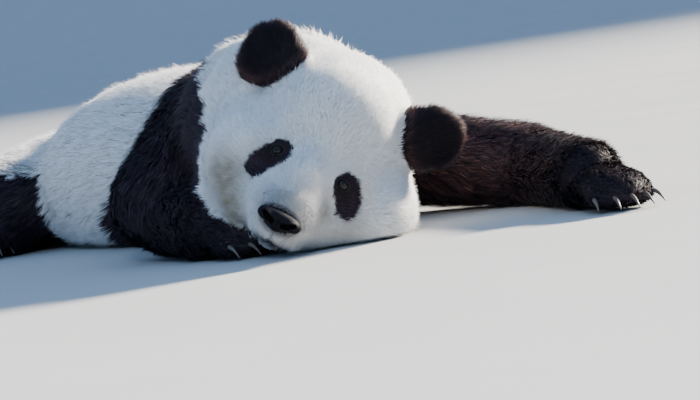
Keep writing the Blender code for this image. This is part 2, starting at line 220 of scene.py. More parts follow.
def waves(places, scale, seed=0.0, octaves=2):
    """Smooth noise from -1 to 1 at each point, from sums of turned sine waves."""
    rng = np.random.default_rng(int(seed * 10) + 5)
    total = np.zeros(len(places))
    weight = 0.0
    for octave in range(octaves):
        for _ in range(5):
            way = rng.normal(size=3)
            way *= 2 * math.pi / (scale / 2**octave) / np.linalg.norm(way) * rng.uniform(0.7, 1.3)
            phase, bend = rng.uniform(0, 6.28, 2)
            across = rng.normal(size=3) * 2.2 / (scale / 2**octave)
            total += np.sin(places @ way + phase + 1.2 * np.sin(places @ across + bend)) / 2**octave
        weight += 5 / 2**octave
    return total / weight * 2.0


# ---- Regions of the body
# Skin depth under the outline, hair length, blade width and blades a square centimetre.
COATS = {
    "head": (0.014, 0.022, 0.0011, 38), "neck": (0.022, 0.036, 0.0015, 20),
    "shoulders": (0.022, 0.036, 0.0015, 20), "trunk": (0.024, 0.042, 0.0016, 18),
    "tail": (0.018, 0.054, 0.0015, 30), "upper_arm": (0.020, 0.036, 0.0016, 18),
    "forearm": (0.017, 0.030, 0.0015, 20), "forepaw": (0.008, 0.014, 0.0012, 30),
    "thigh": (0.022, 0.038, 0.0016, 16), "shank": (0.018, 0.030, 0.0016, 18),
    "hind_foot": (0.008, 0.014, 0.0012, 34), "ear": (0.011, 0.018, 0.0008, 125),
    "nose": (0.004, 0.004, 0.0008, 60),
}
# Each limb's nodes, after the node that it grows from.
LIMBS = [
    (root, *(f"{part}_{side}" for part in parts))
    for root, parts in (("shoulders", ("upper_arm", "forearm", "forepaw")),
                        ("trunk", ("thigh", "shank", "hind_foot")))
    for side in ("left", "right")
]


def kind(node):
    return node.replace("_left", "").replace("_right", "")


def lie_of(node):
    """The way the coat lies on a node, from the nodes before and after it."""
    if node in ("trunk", "neck", "shoulders", "head", "nose"):
        return Vector((0, 1, -0.25))
    if node == "tail":
        return Vector((0, 0.8, -0.6))
    if node.startswith("ear"):
        return middle(node) - HEAD_PLACE
    chain = next(c for c in LIMBS if node in c)
    at = chain.index(node)
    after = chain[min(at + 1, len(chain) - 1)]
    way = middle(after) - middle(chain[at - 1])
    if kind(node) == "hind_foot":
        way = middle(f"claw_{node}_3") - middle(node)
    if kind(node) == "thigh":
        way = Vector((0.35 if node.endswith("left") else -0.35, 0.25, -0.9))
    return way.normalized()


# ---- Skin
GRAIN = 0.0064  # edge length of the skin away from the face
CLOSE_CUTS = 0.0012  # how far each solid swells, so that the cuts between them close
SKIN_LOWEST = 0.003
NAMES = sorted(n for n in NODES if not n.startswith(("eye", "claw")))
SINK_STEPS = 4  # the skin sinks from the outline to its depth in so many steps
NOSE_ROOT = np.array((0, -0.190, -0.060))  # inside the nose; the face's distances start here
# Middle and radii of the ground that the nose pad covers.
NOSE_MIDDLE, NOSE_REACH = np.array((0, -0.200, -0.074)), np.array((0.032, 0.030, 0.019))
LID_DEPTH = 0.0025  # skin depth at the eye
# By distance from the nose: skin depth, hair length, blade width and blades a square cm.
FACE_REACH = (0.020, 0.045, 0.080, 0.120, 0.170, 0.230)
FACE_DEPTH = (0.0030, 0.0040, 0.0055, 0.0080, 0.0115, 0.0145)
FACE_LENGTH = (0.0035, 0.0055, 0.0085, 0.0120, 0.0165, 0.0195)
FACE_WIDTH = (0.00055, 0.00066, 0.00076, 0.00086, 0.00096, 0.00108)
FACE_DENSITY = (110, 105, 90, 70, 56, 46)


def outline():
    """The solids of flesh as one closed surface, the thin cuts between them closed."""
    bm = bmesh.new()
    for name in NAMES:
        part = bmesh.new()
        part.from_mesh(NODES[name].data)
        bmesh.ops.remove_doubles(part, verts=part.verts, dist=1e-5)
        part.normal_update()
        for v in part.verts:
            v.co += v.normal * CLOSE_CUTS
        bm.from_mesh(mesh_of(part, "part"))
    return modified(mesh_of(bm, "outline"), "REMESH", mode="VOXEL", voxel_size=GRAIN)


def nearest_nodes(places):
    """For each point the number in NAMES of the nearest node of flesh."""
    corners, faces, owner = [], [], []
    for number, name in enumerate(NAMES):
        mesh = NODES[name].data
        base = len(corners)
        corners += [v.co.copy() for v in mesh.vertices]
        faces += [[base + i for i in f.vertices] for f in mesh.polygons]
        owner += [number] * len(mesh.polygons)
    tree = BVHTree.FromPolygons(corners, faces)
    return np.array([owner[tree.find_nearest(p)[2]] for p in places.tolist()])


def face_share(local):
    """1 on the face, 0 behind the ears and on the body."""
    near = fade(sizes(local - np.array((0, -0.10, -0.03))), 0.13, 0.20)
    return near * fade(local[:, 1], -0.03, 0.03)


def bridge_share(local):
    """1 on the bridge and the muzzle's sides, where the solid's masses meet in edges."""
    reach = sizes(local - NOSE_ROOT)
    between = blend(reach, 0.035, 0.055) * fade(reach, 0.120, 0.150)
    front = fade(local[:, 1], -0.075, -0.055) * blend(local[:, 2], -0.100, -0.085)
    return between * front


def share_of(member, *starts):
    """The share of the nodes whose names start so, at each point."""
    return member[:, [i for i, n in enumerate(NAMES) if n.startswith(starts)]].sum(1)


def eye_side(local):
    """Each point's distance from the eyeball on its own side of the face."""
    return sizes(mirrored(local) - np.array(EYE_PLACE))


def by_node(member, column):
    return member @ np.array([COATS[kind(n)][column] for n in NAMES])


def skin_depth(local, member):
    """How far the skin lies under the tips of the coat."""
    head = np.clip(share_of(member, "head", "nose"), 0, 1)
    reach = sizes(local - NOSE_ROOT)
    on_head = np.interp(reach, FACE_REACH, FACE_DEPTH)
    on_head = mix(LID_DEPTH, on_head, blend(eye_side(local), 0.008, 0.045))
    return mix(by_node(member, 0), on_head, head)


def refined(mesh, chosen, passes=3):
    """Splits and rounds the faces that chosen picks, from their middles in the head's frame."""
    bm = bmesh.new()
    bm.from_mesh(mesh)
    middles = np.array([f.calc_center_median() for f in bm.faces])
    pick = chosen(in_head(middles))
    edges = {e for f, wanted in zip(bm.faces, pick) if wanted for e in f.edges}
    bmesh.ops.subdivide_edges(bm, edges=list(edges), cuts=1, use_grid_fill=True)
    finer = mesh_of(bm, "skin")
    places = points_of(finer)
    zone = chosen(in_head(places)).astype(float)
    set_points(finer, spread(places, edges_of(finer), passes, 0.5 * zone))
    return finer


def make_skin():
    """The skin's mesh, with each node's share at each point kept as attributes."""
    mesh = outline()
    places = points_of(mesh)
    edges = edges_of(mesh)
    member = np.zeros((len(places), len(NAMES)))
    member[np.arange(len(places)), nearest_nodes(places)] = 1
    member = spread(member, edges, 5)
    local = in_head(places)
    sharp = face_share(local)
    paws = share_of(member, "forepaw", "hind_foot")
    calm = np.clip(0.5 - 0.20 * sharp - 0.30 * paws, 0.1, 0.5)
    places = spread(places, edges, 14, calm)
    places = spread(places, edges, 30, 0.5 * bridge_share(local))
    depth = spread(skin_depth(in_head(places), member)[:, None], edges, 4)
    for _ in range(SINK_STEPS):
        set_points(mesh, places)
        places = places - normals_of(mesh) * depth / SINK_STEPS
        places = spread(places, edges, 2, np.clip(0.4 - 0.15 * sharp - 0.2 * paws, 0.05, 0.4))
    set_points(mesh, places)
    for i, name in enumerate(NAMES):
        layer = mesh.attributes.new("in_" + name, "FLOAT", "POINT")
        write(layer.data, "value", member[:, i])
    mesh = refined(mesh, lambda local: face_share(local) > 0.25)
    mesh = refined(mesh, lambda local: (eye_side(local) < 0.032) | (
        (local[:, 1] < -0.125) & (np.abs(local[:, 0]) < 0.055)))
    mesh = refined(mesh, lambda local: eye_side(local) < 0.0185, 2)
    places = from_head(sculpt_face(in_head(points_of(mesh)), normals_of(mesh) @ HEAD_AXES))
    places[:, 2] = np.maximum(places[:, 2], SKIN_LOWEST)
    set_points(mesh, places)
    smooth(mesh)
    return link("skin", mesh)


# ---- The face's own shape, in the head's frame
EYE_TILT = math.radians(-14)  # the outer corner lies lower
LID_OPEN_WIDE, LID_OPEN_HIGH, LID_THICK = 0.0098, 0.0066, 0.0011
MOUTH_ACROSS = (0, 0.012, 0.0235, 0.040, 0.055)  # distance from the middle of the face
MOUTH_HEIGHT = (-0.1115, -0.1125, -0.1118, -0.1140, -0.1080)
# Swellings on both sides of the face: middle, height over the skin and reach.
PAD_SWELL = ((0.030, -0.168, -0.088), 0.0022, 0.016)
BROW_SWELL = ((0.048, -0.090, 0.040), 0.0025, 0.018)


def eye_axes(sign):
    """Out of the eye, along its opening and across it."""
    out = Vector((sign * 0.35, -1, 0.05)).normalized()
    along = Vector((math.cos(EYE_TILT) * sign, 0, math.sin(EYE_TILT)))
    along = (along - out * along.dot(out)).normalized()
    across = out.cross(along).normalized()
    return np.array(out), np.array(along), np.array(across)


def eye_reading(local, sign):
    """Each point's place over one eye: along, across and out, and 1 at the lids' edge."""
    centre = np.array((sign * EYE_PLACE.x, EYE_PLACE.y, EYE_PLACE.z))
    out, along, across = eye_axes(sign)
    rel = local - centre
    x, y, high = rel @ along, rel @ across, rel @ out
    return x, y, high, np.sqrt((x / LID_OPEN_WIDE) ** 2 + (y / LID_OPEN_HIGH) ** 2)


def line_distance(points, line):
    """Distance of each point from a line through a few places."""
    nearest = np.full(len(points), 9.0)
    for a, b in zip(line[:-1], line[1:]):
        share = np.clip((points - a) @ (b - a) / ((b - a) @ (b - a)), 0, 1)
        away = sizes(points - a - share[:, None] * (b - a))
        nearest = np.minimum(nearest, away)
    return nearest


def mouth_height(local):
    """How far above the mouth's line each point lies, and far off it away from the mouth."""
    across = np.abs(local[:, 0])
    near = (across < 0.055) & (local[:, 1] < -0.085)
    return np.where(near, local[:, 2] - np.interp(across, MOUTH_ACROSS, MOUTH_HEIGHT), 1.0)


# The edge of the cheek's ruff, from under the ear to the jaw, on both sides of the face.
RUFF_EDGE = np.array((
    (0.147, -0.016, 0.068), (0.157, -0.018, 0.042), (0.159, -0.026, 0.016), (0.156, -0.047, -0.007),
    (0.151, -0.064, -0.029), (0.144, -0.065, -0.050), (0.135, -0.068, -0.070), (0.123, -0.062, -0.089)))
BEHIND_RUFF = np.array((0.004, 0.022, 0))


def ruff_distance(local, shift=0):
    """Distance from the ruff's edge, or from the same line moved by the shift."""
    return line_distance(mirrored(local), RUFF_EDGE + shift)


def philtrum_distance(local):
    between = (local[:, 1] < -0.13) & (np.abs(local[:, 2] + 0.102) < 0.012)
    return np.where(between, np.abs(local[:, 0]), 1.0)


def pad_reach(local):
    """Below 1 on the ground that the nose pad covers."""
    return sizes((local - NOSE_MIDDLE) / NOSE_REACH)


def sculpt_face(local, normals):
    """Lids over the eyes, the mouth, the groove under the nose and the cheeks' ruff."""
    moved = local.copy()
    above = mouth_height(local)
    push = -0.0060 * bell(above, 0.0032) + 0.0022 * bell(above - 0.009, 0.005)
    push += 0.0016 * bell(above + 0.009, 0.005)
    push -= 0.0024 * bell(philtrum_distance(local), 0.0018)
    push -= 0.0100 * fade(pad_reach(local), 0.65, 1.02)
    push += 0.0048 * bell(ruff_distance(local), 0.010)
    push -= 0.0040 * bell(ruff_distance(local, BEHIND_RUFF), 0.009)
    for sign in (-1, 1):
        for (across, ahead, high), swell, reach in (PAD_SWELL, BROW_SWELL):
            away = sizes(local - np.array((sign * across, ahead, high)))
            push += swell * bell(away, reach)
    moved += normals * push[:, None]
    for sign in (-1, 1):
        x, y, high, edge = eye_reading(moved, sign)
        out, _, _ = eye_axes(sign)
        across = np.sqrt(x * x + y * y)
        front = (high > -0.006) & (across < 0.030)
        ball = np.sqrt(np.maximum(EYE_RADIUS**2 - across**2, 0))
        shell_radius = EYE_RADIUS + LID_THICK
        shell = np.sqrt(np.maximum(shell_radius**2 - across**2, 0))
        mound = 0.0040 * bell(across, 0.014)
        lid = np.maximum(high + mound, np.where(across < shell_radius, shell, -1))
        crease = 0.0010 * bell(edge - 1.75, 0.16)
        target = np.where(edge < 0.97, ball - 0.0030, lid - crease)
        moved += out * np.where(front, target - high, 0)[:, None]
    return moved


# ---- Markings
# The dark patch round each eye, as (distance from the middle of the face, height).
RIGHT_PATCH = ((0.029, 0.007), (0.033, 0.020), (0.045, 0.027), (0.057, 0.025), (0.067, 0.013),
               (0.077, -0.003), (0.0845, -0.020), (0.083, -0.036), (0.074, -0.044), (0.064, -0.046),
               (0.054, -0.039), (0.048, -0.024), (0.034, -0.006))
LEFT_PATCH = ((0.0395, 0.009), (0.044, 0.021), (0.054, 0.028), (0.065, 0.026), (0.077, 0.015),
              (0.086, -0.004), (0.089, -0.022), (0.083, -0.035), (0.071, -0.040), (0.060, -0.0375),
              (0.054, -0.026), (0.047, -0.014), (0.040, -0.002))
# The black girdle over the shoulders: its back edge by height, and its front edge, along Y.
GIRDLE_HEIGHTS = (0.02, 0.09, 0.13, 0.155, 0.19, 0.30)
GIRDLE_BACK = (0.13, 0.08, -0.10, -0.168, -0.142, -0.128)
GIRDLE_FRONT_TOP, GIRDLE_FRONT_SLOPE = -0.262, 0.9
HIND_BLACK_TOP = 0.134
EAR_REACH = 0.051


def outside(flat, outline):
    """Signed distance of flat points from a closed outline, below 0 inside it."""
    corners = np.array(outline)
    nearest = line_distance(flat, np.vstack((corners, corners[:1])))
    inside = np.zeros(len(flat), bool)
    for a, b in zip(corners, np.roll(corners, -1, axis=0)):
        spans = (a[1] > flat[:, 1]) != (b[1] > flat[:, 1])
        rise = b[1] - a[1] if b[1] != a[1] else 1e-9
        inside ^= spans & (flat[:, 0] < a[0] + (flat[:, 1] - a[1]) / rise * (b[0] - a[0]))
    return np.where(inside, -nearest, nearest)


def patch_distance(local):
    """How far outside the dark patch round the nearer eye each point is."""
    found = np.full(len(local), 1.0)
    near = (local[:, 1] < -0.045) & (np.abs(local[:, 2]) < 0.08) & (np.abs(local[:, 0]) < 0.12)
    for sign, patch in ((-1, RIGHT_PATCH), (1, LEFT_PATCH)):
        own = near & (local[:, 0] * sign > 0)
        flat = np.stack((np.abs(local[own, 0]), local[own, 2]), axis=1)
        found[own] = outside(flat, patch)
    return found


def ear_distance(places):
    """Each point's distance from the middle of the nearer ear, taken a little way to its root."""
    middles = [np.array(middle(f"ear_{side}").lerp(HEAD_PLACE, 0.05)) for side in ("left", "right")]
    return np.minimum(*(sizes(places - m) for m in middles))


def darkness(places, member):
    """Above 0.5 where the coat is black."""
    local = in_head(places)
    _, y, z = places.T
    ragged = 0.009 * waves(places, 0.045, 1.0) + 0.004 * waves(places, 0.015, 1.5)
    front = GIRDLE_FRONT_TOP - GIRDLE_FRONT_SLOPE * np.clip(0.31 - z, 0, 0.12)
    back = np.interp(z, GIRDLE_HEIGHTS, GIRDLE_BACK)
    within = np.minimum(y - front, back - y) + ragged
    torso = share_of(member, "trunk", "neck", "shoulders", "upper_arm_right", "head")
    girdle = torso * blend(within, -0.012, 0.012)
    below = blend(HIND_BLACK_TOP - z + ragged, -0.010, 0.010)
    hind = np.clip(1.15 * share_of(member, "thigh", "shank", "hind_foot"), 0, 1) * below
    whole = share_of(member, "ear", "upper_arm_left", "forearm", "forepaw")
    whole = np.maximum(whole, fade(ear_distance(places), EAR_REACH - 0.003, EAR_REACH + 0.003))
    whole = whole + 0.08 * waves(places, 0.030, 1.0)
    uneven = 0.0016 * waves(places, 0.012, 2.0)
    patch = fade(patch_distance(local) + uneven, -0.005, 0.005)
    return np.maximum.reduce((girdle, hind, whole, patch, girdle + hind + whole))


def nose_dark(local):
    """1 on the short dark hair just over the nose pad, on its edges and along the lips."""
    flat = local[:, [0, 2]] * np.array((0.9, 1))
    front = fade(local[:, 1], -0.150, -0.120)
    over = sizes(flat - np.array((0, -0.066)))
    edge = fade(pad_reach(local), 1.05, 1.50)
    above = 0.80 * bell(over, 0.040) * blend(local[:, 2], -0.076, -0.066)
    lips = 1.5 * bell(mouth_height(local) - 0.0010, 0.0064)
    lips *= 1 - 0.5 * blend(np.abs(local[:, 0]), 0.030, 0.055)
    philtrum = 0.8 * bell(philtrum_distance(local), 0.0030)
    return np.maximum.reduce((above * front, edge * front, lips, philtrum))


# Stains on the white of the head, a darker patch on the left of the muzzle and a painted shade under
# the right ear: middle in the head's frame, reach, colour and strength.
STAINS_AND_SHADE = (
    ((-0.103, -0.095, -0.062), 0.032, (0.29, 0.235, 0.145), 0.90),
    ((-0.085, -0.103, -0.091), 0.028, (0.31, 0.26, 0.17), 0.88),
    ((-0.060, -0.090, -0.110), 0.027, (0.33, 0.28, 0.20), 0.80),
    # a darker, warm grey patch on the left side of the muzzle
    ((0.050, -0.131, -0.038), 0.021, (0.35, 0.32, 0.27), 0.85),
    ((0.085, -0.105, -0.050), 0.030, (0.50, 0.42, 0.30), 0.60),
    # painted shade under the right ear
    ((-0.122, -0.027, 0.071), 0.019, (0.30, 0.30, 0.32), 0.75),
)
WHITE, WHITE_ROOT = np.array((0.86, 0.85, 0.83)), np.array((0.70, 0.68, 0.64))
BLACK_TIP, BLACK_ROOT = np.array((0.037, 0.022, 0.033)), np.array((0.006, 0.005, 0.006))
BROWN_TIP = np.array((0.200, 0.092, 0.066))
NOSE_HAIR, NOSE_SKIN = np.array((0.062, 0.062, 0.080)), np.array((0.040, 0.036, 0.042))
LIPS, LID_RIM = np.array((0.030, 0.020, 0.017)), np.array((0.010, 0.008, 0.009))


def white_at(places):
    """The white coat's colour, a little uneven all over, stained on the head, darker on the left of the
    muzzle and with a painted shade under the right ear.
    """
    local = in_head(places)
    colour = np.broadcast_to(WHITE, (len(places), 3)).copy()
    colour *= 1 + 0.035 * waves(places, 0.12, 3.0)[:, None]
    # The stains, the darker patch and the painted shade under the ear, mixed into the white.
    for centre, reach, tint, strength in STAINS_AND_SHADE:
        away = sizes(local - np.array(centre))
        share = strength * bell(away, reach) * (1 + 0.25 * waves(places, 0.018, 4.0))
        colour = mix(colour, np.array(tint), np.clip(share, 0, 1)[:, None])
    return colour


# ---- Materials
COLOUR_A, COLOUR_B, COLOUR_OUT = 6, 7, 2  # the colour sockets of a Mix node
IRIS_HIGH, IRIS_WOBBLE, IRIS_REACH = 1.35, 0.0012, 0.0125
# The eyeball's colours, by the share of the reach off its axis.
EYE_STOPS = (
    (0.22, (0.0015, 0.0015, 0.0015)), (0.30, (0.008, 0.004, 0.003)), (0.56, (0.006, 0.003, 0.002)),
    (0.66, (0.002, 0.002, 0.002)), (0.90, (0.006, 0.004, 0.004)),
)
CLAW_DARK, CLAW_PALE = (0.035, 0.028, 0.024, 1), (0.15, 0.12, 0.095, 1)


def fill(tree, socket, value):
    """Links the socket to another node's, or gives it a value of its own."""
    if isinstance(value, bpy.types.NodeSocket):
        tree.links.new(value, socket)
    else:
        socket.default_value = value


def node(tree, kind_of_node, **settings):
    """A node. The settings are its own or its inputs', with _ for each space."""
    made = tree.nodes.new(kind_of_node)
    for name, value in settings.items():
        if hasattr(made, name):
            setattr(made, name, value)
        else:
            fill(tree, made.inputs[name.replace("_", " ")], value)
    return made


def new_material(name, roughness, **sockets):
    made = bpy.data.materials.new(name)
    made.use_nodes = True
    shader = made.node_tree.nodes["Principled BSDF"]
    shader.inputs["Roughness"].default_value = roughness
    for socket, value in sockets.items():
        shader.inputs[socket.replace("_", " ")].default_value = value
    return made, made.node_tree, shader


def place_of(tree):
    return node(tree, "ShaderNodeTexCoord").outputs["Object"]


def object_noise(tree, scale, detail):
    return node(tree, "ShaderNodeTexNoise", Scale=scale, Detail=detail,
                Vector=place_of(tree)).outputs["Fac"]


def ranged(tree, source, low, high):
    return node(tree, "ShaderNodeMapRange", Value=source, From_Min=0.3, From_Max=0.7,
                To_Min=low, To_Max=high).outputs["Result"]


def worked_out(tree, operation, *values):
    made = node(tree, "ShaderNodeMath", operation=operation)
    for socket, value in zip(made.inputs, values):
        fill(tree, socket, value)
    return made.outputs["Value"]


def rough(tree, shader, source, low, high):
    tree.links.new(ranged(tree, source, low, high), shader.inputs["Roughness"])


def bumped(tree, shader, height, strength, distance):
    bump = node(tree, "ShaderNodeBump", Strength=strength, Distance=distance, Height=height)
    tree.links.new(bump.outputs["Normal"], shader.inputs["Normal"])


def coloured(tree, shader, factor, first, second, **settings):
    """Two colours mixed into the shader's own."""
    made = node(tree, "ShaderNodeMix", data_type="RGBA", **settings)
    for socket, value in (("Factor", factor), (COLOUR_A, first), (COLOUR_B, second)):
        fill(tree, made.inputs[socket], value)
    tree.links.new(made.outputs[COLOUR_OUT], shader.inputs["Base Color"])


def tinted(tree, shader, source, low, high):
    """The mesh's painted colour, darkened and lightened a little."""
    own = node(tree, "ShaderNodeAttribute", attribute_name="coat").outputs["Color"]
    coloured(tree, shader, 1.0, own, ranged(tree, source, low, high), blend_type="MULTIPLY")


def coat_material(name, roughness, sheen, gloss):
    made, tree, shader = new_material(
        name, roughness, Sheen_Weight=sheen, Sheen_Roughness=0.4, Specular_IOR_Level=gloss)
    grain = object_noise(tree, 220, 3)
    tinted(tree, shader, grain, 0.90, 1.04)
    rough(tree, shader, grain, roughness - 0.08, roughness + 0.08)
    return made


def skin_material():
    made, tree, shader = new_material("skin", 0.8, Specular_IOR_Level=0.25, Sheen_Weight=0.15)
    grain = object_noise(tree, 450, 4)
    tinted(tree, shader, grain, 0.75, 1.05)
    bumped(tree, shader, grain, 0.5, 0.0015)
    return made


def nose_material():
    made, tree, shader = new_material("bare_nose", 0.6, Specular_IOR_Level=0.06)
    cells = node(tree, "ShaderNodeTexVoronoi", Scale=620.0, Vector=place_of(tree))
    grain = object_noise(tree, 160, 3)
    tinted(tree, shader, grain, 0.70, 1.15)
    rough(tree, shader, grain, 0.50, 0.70)
    bumped(tree, shader, cells.outputs["Distance"], 0.35, 0.0006)
    return made


def eye_material():
    """Dark brown iris and black pupil, from the distance off the eye's own axis."""
    made, tree, shader = new_material("wet_eye", 0.04, Specular_IOR_Level=0.24)
    apart = node(tree, "ShaderNodeSeparateXYZ", Vector=place_of(tree)).outputs
    flat = node(tree, "ShaderNodeCombineXYZ", X=worked_out(tree, "MULTIPLY", apart["X"], IRIS_HIGH),
                Z=worked_out(tree, "MULTIPLY", apart["Z"], 1.0))
    away = node(tree, "ShaderNodeVectorMath", operation="LENGTH", Vector=flat.outputs["Vector"])
    wobble = worked_out(tree, "MULTIPLY_ADD", object_noise(tree, 900, 3), IRIS_WOBBLE,
                        away.outputs["Value"])
    ramp = node(tree, "ShaderNodeValToRGB", Fac=worked_out(tree, "MULTIPLY", wobble, 1 / IRIS_REACH))
    stops = ramp.color_ramp.elements
    for number, (at, colour) in enumerate(EYE_STOPS):
        stop = stops[number] if number < 2 else stops.new(at)
        stop.position = at
        stop.color = (*colour, 1)
    tree.links.new(ramp.outputs["Color"], shader.inputs["Base Color"])
    return made


def claw_material():
    made, tree, shader = new_material("horn", 0.38, Specular_IOR_Level=0.5)
    grain = object_noise(tree, 140, 4)
    coloured(tree, shader, grain, CLAW_DARK, CLAW_PALE)
    rough(tree, shader, grain, 0.3, 0.5)
    bumped(tree, shader, grain, 0.3, 0.0005)
    return made


# ---- Unwrap of the skin
UV_NAME = "OFBake"
CHART_GAP = 0.012  # metres left free on each side of a chart
MAP_SPARE = 1.12  # the map's width, against that of a square as large as all charts


class Unwrap:
    """A flat chart for each node and each of the six main ways that its skin faces."""

    def __init__(self, centres, normals, owner):
        self.label = self.label_of(normals, owner)
        spots = self.flat(centres, self.label)
        charts = []
        for label in np.unique(self.label):
            own = spots[self.label == label]
            charts.append((label, own.min(0) - CHART_GAP, own.max(0) + CHART_GAP))
        charts.sort(key=lambda c: -(c[2] - c[1])[1])
        area = sum(np.prod(high - low) for _, low, high in charts)
        width = math.sqrt(area) * MAP_SPARE
        self.shift = np.zeros((self.label.max() + 1, 2))
        x = y = row = 0.0
        for label, low, high in charts:
            size = high - low
            if x + size[0] > width:
                x, y, row = 0.0, y + row, 0.0
            self.shift[label] = np.array((x, y)) - low
            x += size[0]
            row = max(row, size[1])
        self.scale = 1 / max(width, y + row)

    @staticmethod
    def label_of(normals, owner):
        axis = np.abs(normals).argmax(1)
        side = normals[np.arange(len(normals)), axis] > 0
        return owner * 6 + axis * 2 + side

    @staticmethod
    def flat(places, label):
        axis = label % 6 // 2
        first = np.where(axis == 0, places[:, 1], places[:, 0])
        second = np.where(axis == 2, places[:, 1], places[:, 2])
        return np.stack((first, second), axis=1)

    def at(self, places, label):
        return (self.flat(places, label) + self.shift[label]) * self.scale


# ---- The coat's lie and length
FACE_CENTRE = np.array((0, -0.150, -0.050))  # the coat runs away from it over the head
COMBINGS, COMBED_STEPS = 3, 11  # how often and how far the lie is smoothed
WHISKER_PAD = np.array((0.031, 0.172, 0.086))  # distances across, ahead and down
WHISKER_REACH, WHISKER_SHARE = 0.014, 0.014


class Coat:
    """What the coat is like, with an array over the skin's points to each property."""


def read_coat(obj):
    """Normals, lie, lengths and colours at the points of the finished skin."""
    mesh = obj.data
    coat = Coat()
    coat.places = points_of(mesh)
    coat.normals = normals_of(mesh)
    edges = edges_of(mesh)
    member = np.empty((len(coat.places), len(NAMES)))
    for i, name in enumerate(NAMES):
        layer = mesh.attributes["in_" + name]
        member[:, i] = read(layer.data, "value")
        mesh.attributes.remove(layer)
    member /= np.maximum(member.sum(1, keepdims=True), 1e-6)
    coat.member = member
    local = in_head(coat.places)
    coat.local = local
    head = np.clip(share_of(member, "head", "nose"), 0, 1)

    lie = member @ np.array([tuple(lie_of(n).normalized()) for n in NAMES])
    lie = mix(lie, unit(local - FACE_CENTRE) @ HEAD_AXES.T, head[:, None])
    for side in ("left", "right"):
        base = middle(f"ear_{side}").lerp(HEAD_PLACE, 0.30)
        share = member[:, NAMES.index(f"ear_{side}")][:, None]
        lie = mix(lie, unit(coat.places - np.array(base)), share)
    for _ in range(COMBINGS):
        lie -= coat.normals * (lie * coat.normals).sum(1, keepdims=True)
        lie = spread(unit(lie), edges, COMBED_STEPS)
    coat.lie = unit(lie - coat.normals * (lie * coat.normals).sum(1, keepdims=True))

    reach = sizes(local - NOSE_ROOT)
    cheek = blend(np.abs(local[:, 0]), 0.08, 0.13) * fade(local[:, 2], -0.02, 0.05)
    eyes = eye_side(local)
    lid = blend(eyes, 0.012, 0.034)
    face_long = np.interp(reach, FACE_REACH, FACE_LENGTH) + 0.008 * cheek
    face_long = np.minimum(face_long, 0.0026 + 0.30 * np.maximum(eyes - 0.011, 0))
    coat.length = mix(by_node(member, 1), face_long, head)
    coat.height = skin_depth(local, member)
    ears = np.clip(share_of(member, "ear") * 1.3, 0, 1)
    beside = fade(ear_distance(coat.places), 0.055, 0.095) * (1 - ears)
    coat.length *= 1 - 0.52 * beside
    coat.height *= 1 - 0.42 * beside
    # The ears' outer rim: longer hair, with brown tips there as a painted rim of sunlight, and the
    # ear's face within it painted darker as painted shade.
    rim = blend(ear_distance(coat.places), 0.030, 0.044) * ears
    coat.height *= 1 + 0.5 * ears
    patch = patch_distance(local)
    fringe = bell(patch, 0.010) * head
    coat.length *= 1 - 0.28 * fringe
    coat.length *= 1 + 0.30 * bell(ruff_distance(local), 0.014)
    coat.width = mix(by_node(member, 2), np.interp(reach, FACE_REACH, FACE_WIDTH), head)
    coat.width *= (1 - 0.35 * (1 - lid) * head) * (1 - 0.25 * fringe)
    coat.density = mix(by_node(member, 3), np.interp(reach, FACE_REACH, FACE_DENSITY), head)
    coat.density *= (1 + 0.6 * (1 - lid) * head) * (1 + 0.7 * fringe)
    for sign in (-1, 1):
        _, _, high, edge = eye_reading(local, sign)
        coat.density[(high > 0) & (edge < 1.12)] = 0
    coat.density *= blend(pad_reach(local), 0.9, 1.05)
    above = mouth_height(local)
    coat.density *= 1 - 0.92 * bell(above, 0.0036)
    coat.length *= 1 - 0.66 * bell(above - 0.005, 0.009)
    underneath = coat.normals[:, 2] < -0.5
    coat.density *= 1 - 0.6 * fade(coat.places[:, 2], 0.004, 0.020) * underneath
    coat.dark = darkness(coat.places, member)
    coat.nose_dark = nose_dark(local)
    coat.white = white_at(coat.places)
    arms = share_of(member, "upper_arm_left", "forearm_left")
    # Share of blades with brown tips: on the ears' rims a painted rim light, on the left arm partly the
    # fur's own brown and partly painted sunlight.
    coat.brown = np.clip(rim + 0.52 * arms, 0, 1)
    # The ear's face inside the rim: its black tips painted darker, as painted shade.
    coat.deep = ears * (1 - rim)
    coat.length *= 1 + 0.25 * arms + 0.25 * rim
    coat.clump = 0.38 - 0.24 * head - 0.24 * share_of(member, "neck")
    coat.border = fringe
    coat.stray = 0.10 - 0.05 * head + 0.45 * ears + 0.15 * arms + 0.30 * share_of(member, "tail")
    pad = sizes(np.abs(local) - WHISKER_PAD)
    coat.whisker = WHISKER_SHARE * (pad < WHISKER_REACH) * (local[:, 1] < 0)
    return coat


def colour_skin(obj, coat):
    """The markings on the skin itself, a little darker than the coat over it as painted shade where the
    skin shows between the blades.
    """
    dark = blend(coat.dark, 0.42, 0.58)[:, None]
    # The white skin is painted darker than the coat: painted shade under the blades.
    colour = mix(coat.white * 0.90, BLACK_ROOT, dark)
    short = np.clip(0.80 * coat.nose_dark, 0, 1)[:, None]
    colour = mix(colour, NOSE_SKIN, short)
    bare = fade(pad_reach(coat.local), 1.0, 1.2)[:, None]
    colour = mix(colour, BLACK_ROOT, bare)
    mouth = np.exp(-(mouth_height(coat.local) / 0.0046) ** 4)[:, None]
    colour = mix(colour, LIPS, mouth)
    for sign in (-1, 1):
        _, _, high, edge = eye_reading(coat.local, sign)
        rim = ((high > 0) & (edge < 1.4))[:, None]
        colour = np.where(rim, LID_RIM, colour)
    paint(obj.data, colour)


def paint(mesh, colour):
    layer = mesh.color_attributes.new("coat", "FLOAT_COLOR", "POINT")
    rgba = np.concatenate((colour, np.ones((len(colour), 1))), axis=1)
    write(layer.data, "color", rgba)


